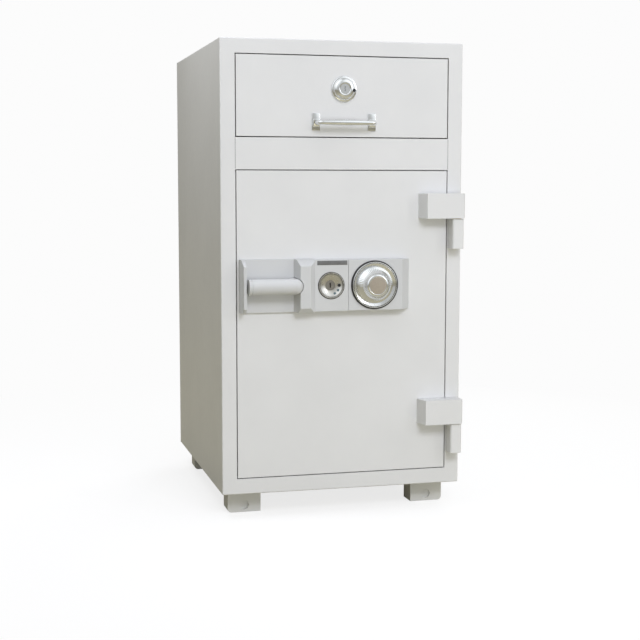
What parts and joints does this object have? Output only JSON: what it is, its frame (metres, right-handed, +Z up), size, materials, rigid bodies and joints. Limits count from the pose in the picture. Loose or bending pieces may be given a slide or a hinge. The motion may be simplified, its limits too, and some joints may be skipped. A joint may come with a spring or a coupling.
{
  "type": "night deposit safe",
  "caption": "Free-standing steel safe with a key-locked deposit drawer that tips into a strongroom behind a thick hinged door with lever, key lock and dial.",
  "frame": {"origin": "middle of the overall box on the floor, under the feet", "axes": "+Z up, +Y towards the back, +X to the right seen from the front"},
  "size_m": [0.494, 0.6036, 0.94],
  "materials": {
    "body_paint": "fine textured satin paint, warm grey white",
    "plate_paint": "satin grey paint",
    "liner_paint": "matte grey paint",
    "foot_paint": "satin mid grey paint",
    "fire_filling": "cast mineral filling, matte",
    "zinc_steel": "zinc plated",
    "bright_steel": "ground bright",
    "chrome": "polished",
    "dial_satin": "satin",
    "brass": "machined",
    "seal_rubber": "matte",
    "black_plastic": "matte"
  },
  "bodies": {
    "cabinet": {"outer_shell": "body_paint", "back_panel": "body_paint", "front_frame": "body_paint", "crossbar": "body_paint", "door_jamb": "body_paint", "fire_lining": "fire_filling", "safe_liner": "liner_paint", "drawer_well": "liner_paint", "drop_chute": "liner_paint", "feet": "foot_paint", "foot_bolts": "zinc_steel", "hinge_leaves": "body_paint", "hinge_pins": "bright_steel", "hinge_washers": "brass", "strike_bar": "zinc_steel", "slide_outer": "zinc_steel", "cam_tracks": "zinc_steel"},
    "door": {"door_pan": "body_paint", "door_fill": "fire_filling", "inner_door": "body_paint", "door_back_cover": "liner_paint", "cover_screws": "bright_steel", "fire_seal": "seal_rubber", "dead_bar": "zinc_steel", "hinge_arms": "body_paint", "handle_housing": "plate_paint", "handle_bush": "black_plastic", "lock_plate": "plate_paint", "dial_plate": "plate_paint", "dial_surround": "chrome", "key_cup": "chrome", "key_case": "zinc_steel", "lock_case": "zinc_steel", "bolt_guides": "zinc_steel"},
    "handle": {"lever_handle": "plate_paint", "handle_spindle": "zinc_steel"},
    "boltwork": {"main_bolts": "bright_steel", "bolt_carrier": "zinc_steel"},
    "dial": {"dial_knob": "dial_satin", "dial_ring": "chrome", "dial_spindle": "zinc_steel", "drive_cam": "brass"},
    "code_wheel_1": {"code_wheel_1": "brass"},
    "code_wheel_2": {"code_wheel_2": "brass"},
    "code_wheel_3": {"code_wheel_3": "brass"},
    "lock_bolt": {"lock_bolt": "brass"},
    "key_plug": {"key_plug": "chrome"},
    "key_bolt": {"key_bolt": "brass"},
    "drawer": {"drawer_front": "body_paint", "drawer_tray": "liner_paint", "drawer_pull": "chrome", "drawer_lock_ring": "chrome", "drawer_lock_case": "zinc_steel", "slide_inner": "zinc_steel"},
    "drawer_key_plug": {"drawer_key_plug": "chrome"},
    "drawer_bolt": {"drawer_bolt": "brass"},
    "slide_middle": {"slide_middle": "zinc_steel"},
    "drop_floor": {"drop_floor": "liner_paint", "floor_rollers": "black_plastic"}
  },
  "joints": [
    {"name": "door_swing", "type": "hinge", "parent": "cabinet", "child": "door", "pos_m": [0.231, -0.27025, 0.4], "axis": [0, 0, 1], "range_deg": [0, 110]},
    {"name": "handle_turn", "type": "hinge", "parent": "door", "child": "handle", "pos_m": [-0.1065, -0.28625, 0.462], "axis": [0, -1, 0], "range_deg": [0, 40]},
    {"name": "bolt_slide", "type": "slide", "parent": "door", "child": "boltwork", "axis": [-1, 0, 0], "range_m": [0, 0.016]},
    {"name": "dial_turn", "type": "hinge", "parent": "door", "child": "dial", "pos_m": [0.058, -0.28625, 0.462], "axis": [0, 1, 0], "continuous": true},
    {"name": "code_wheel_1_turn", "type": "hinge", "parent": "door", "child": "code_wheel_1", "pos_m": [0.058, -0.22075, 0.462], "axis": [0, 1, 0], "continuous": true},
    {"name": "code_wheel_2_turn", "type": "hinge", "parent": "door", "child": "code_wheel_2", "pos_m": [0.058, -0.21675, 0.462], "axis": [0, 1, 0], "continuous": true},
    {"name": "code_wheel_3_turn", "type": "hinge", "parent": "door", "child": "code_wheel_3", "pos_m": [0.058, -0.21275, 0.462], "axis": [0, 1, 0], "continuous": true},
    {"name": "lock_bolt_slide", "type": "slide", "parent": "door", "child": "lock_bolt", "axis": [0, 0, -1], "range_m": [0, 0.006]},
    {"name": "door_key_turn", "type": "hinge", "parent": "door", "child": "key_plug", "pos_m": [-0.031, -0.26725, 0.462], "axis": [0, 1, 0], "range_deg": [0, 90]},
    {"name": "key_bolt_slide", "type": "slide", "parent": "door", "child": "key_bolt", "axis": [0, 0, -1], "range_m": [0, 0.0099]},
    {"name": "drawer_slide", "type": "slide", "parent": "cabinet", "child": "drawer", "axis": [0, -1, 0], "range_m": [0, 0.3]},
    {"name": "runner_slide", "type": "slide", "parent": "cabinet", "child": "slide_middle", "axis": [0, -1, 0], "range_m": [0, 0.15]},
    {"name": "floor_tilt", "type": "hinge", "parent": "drawer", "child": "drop_floor", "pos_m": [0, -0.10125, 0.804], "axis": [1, 0, 0], "range_deg": [0, 32]},
    {"name": "drawer_key_turn", "type": "hinge", "parent": "drawer", "child": "drawer_key_plug", "pos_m": [0, -0.26225, 0.846], "axis": [0, 1, 0], "range_deg": [0, 90]},
    {"name": "drawer_bolt_slide", "type": "slide", "parent": "drawer", "child": "drawer_bolt", "axis": [0, 0, 1], "range_m": [0, 0.0099]}
  ],
  "couplings": [
    {"joint": "handle_turn", "follows": "bolt_slide", "rad_per_m": 43.633},
    {"joint": "door_key_turn", "follows": "key_bolt_slide", "rad_per_m": 158.66},
    {"joint": "runner_slide", "follows": "drawer_slide", "ratio": 0.5},
    {"joint": "floor_tilt", "follows": "drawer_slide", "rad_per_m": 1.8617},
    {"joint": "drawer_key_turn", "follows": "drawer_bolt_slide", "rad_per_m": 158.66}
  ]
}
